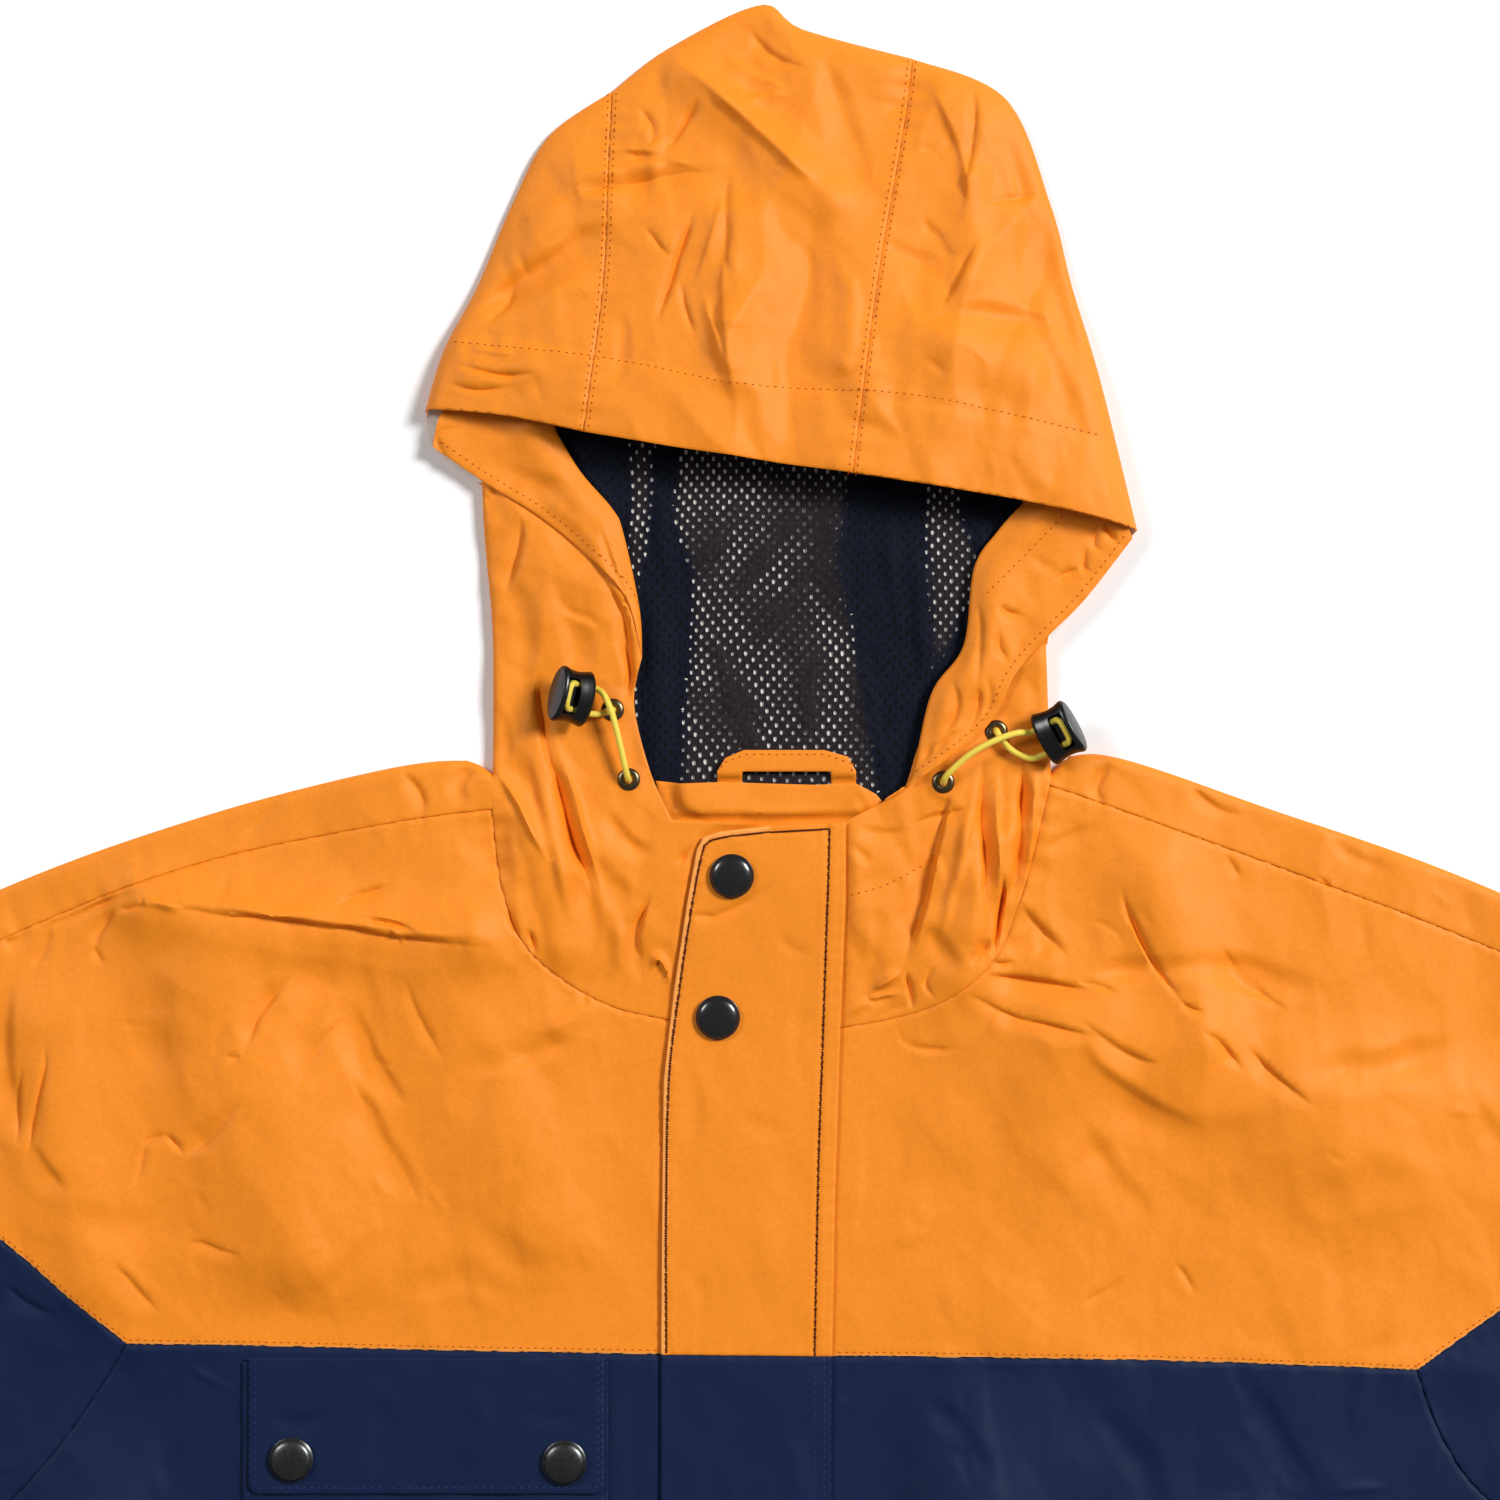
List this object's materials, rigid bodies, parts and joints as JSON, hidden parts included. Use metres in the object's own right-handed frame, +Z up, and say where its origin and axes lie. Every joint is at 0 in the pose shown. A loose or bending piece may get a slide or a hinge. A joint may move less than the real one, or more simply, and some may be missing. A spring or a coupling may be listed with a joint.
{
  "type": "hooded smock jacket",
  "caption": "Hooded pullover rain smock laid flat, orange hood and yoke over a navy body, with a storm flap, a chest pocket and drawcords.",
  "frame": {"origin": "on the surface the jacket lies on, under the middle of its outline", "axes": "+X towards the wearer's left cuff, +Y towards the top of the hood, +Z up out of the front"},
  "size_m": [1.5596, 1.0256, 0.0251],
  "materials": {
    "orange_cloth": "matte coated plain weave",
    "navy_cloth": "matte coated plain weave",
    "navy_mesh": "knitted mesh lining with oval holes",
    "snap_cap": "black enamel, satin",
    "eyelet_metal": "gunmetal plated",
    "lock_nylon": "moulded, glossy",
    "drawcord": "braided elastic cord"
  },
  "bodies": {
    "root": {"back_yoke": "orange_cloth", "front_yoke_right": "orange_cloth", "front_yoke_left": "orange_cloth", "hood_centre": "orange_cloth", "hood_side_right": "orange_cloth", "hood_side_left": "orange_cloth", "hood_facing_right": "orange_cloth", "hood_facing_left": "orange_cloth", "neck_band": "orange_cloth", "hang_loop": "orange_cloth", "storm_flap_upper": "orange_cloth", "storm_flap_lower": "navy_cloth", "front_body": "navy_cloth", "back_body": "navy_cloth", "sleeve_right": "navy_cloth", "sleeve_left": "navy_cloth", "pocket_patch": "navy_cloth", "pocket_flap": "navy_cloth", "hood_mesh": "navy_mesh", "snap_flap_upper": "snap_cap", "snap_flap_lower": "snap_cap", "snap_pocket_right": "snap_cap", "snap_pocket_left": "snap_cap", "eyelet_right_lower": "eyelet_metal", "eyelet_right_upper": "eyelet_metal", "eyelet_left_lower": "eyelet_metal", "eyelet_left_upper": "eyelet_metal", "cord_lock_right": "lock_nylon", "cord_lock_left": "lock_nylon", "cord_right": "drawcord", "cord_left": "drawcord"}
  },
  "joints": []
}
